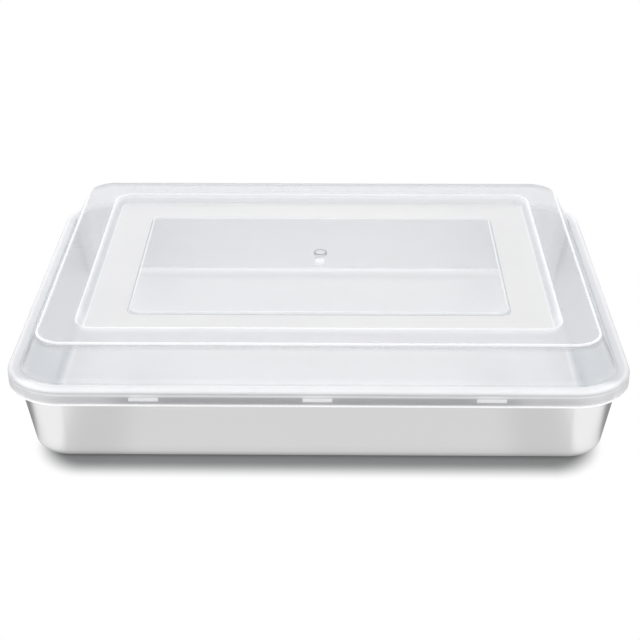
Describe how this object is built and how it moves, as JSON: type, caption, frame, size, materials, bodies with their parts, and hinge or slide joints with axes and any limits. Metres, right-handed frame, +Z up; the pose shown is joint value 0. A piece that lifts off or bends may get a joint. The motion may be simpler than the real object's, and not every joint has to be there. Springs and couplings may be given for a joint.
{
  "type": "cake pan with lid",
  "caption": "Rectangular steel cake pan with sloping walls and a rolled rim, closed by a clear fitted lid with a low stepped dome.",
  "frame": {"origin": "on the table, under the middle of the pan", "axes": "+X along the pan's length, -Y towards the long side that the picture shows in front, +Z up"},
  "size_m": [0.32, 0.246, 0.0654],
  "materials": {
    "steel": "satin stainless steel, finely brushed",
    "clear_plastic": "translucent moulded polypropylene, clear with one frosted band"
  },
  "bodies": {
    "pan_body": {"pan": "steel"},
    "lid_body": {"lid": "clear_plastic"}
  },
  "joints": [
    {"name": "lid_lift", "type": "slide", "parent": "pan_body", "child": "lid_body", "axis": [0, 0, 1], "range_m": [0, 0.08]}
  ]
}
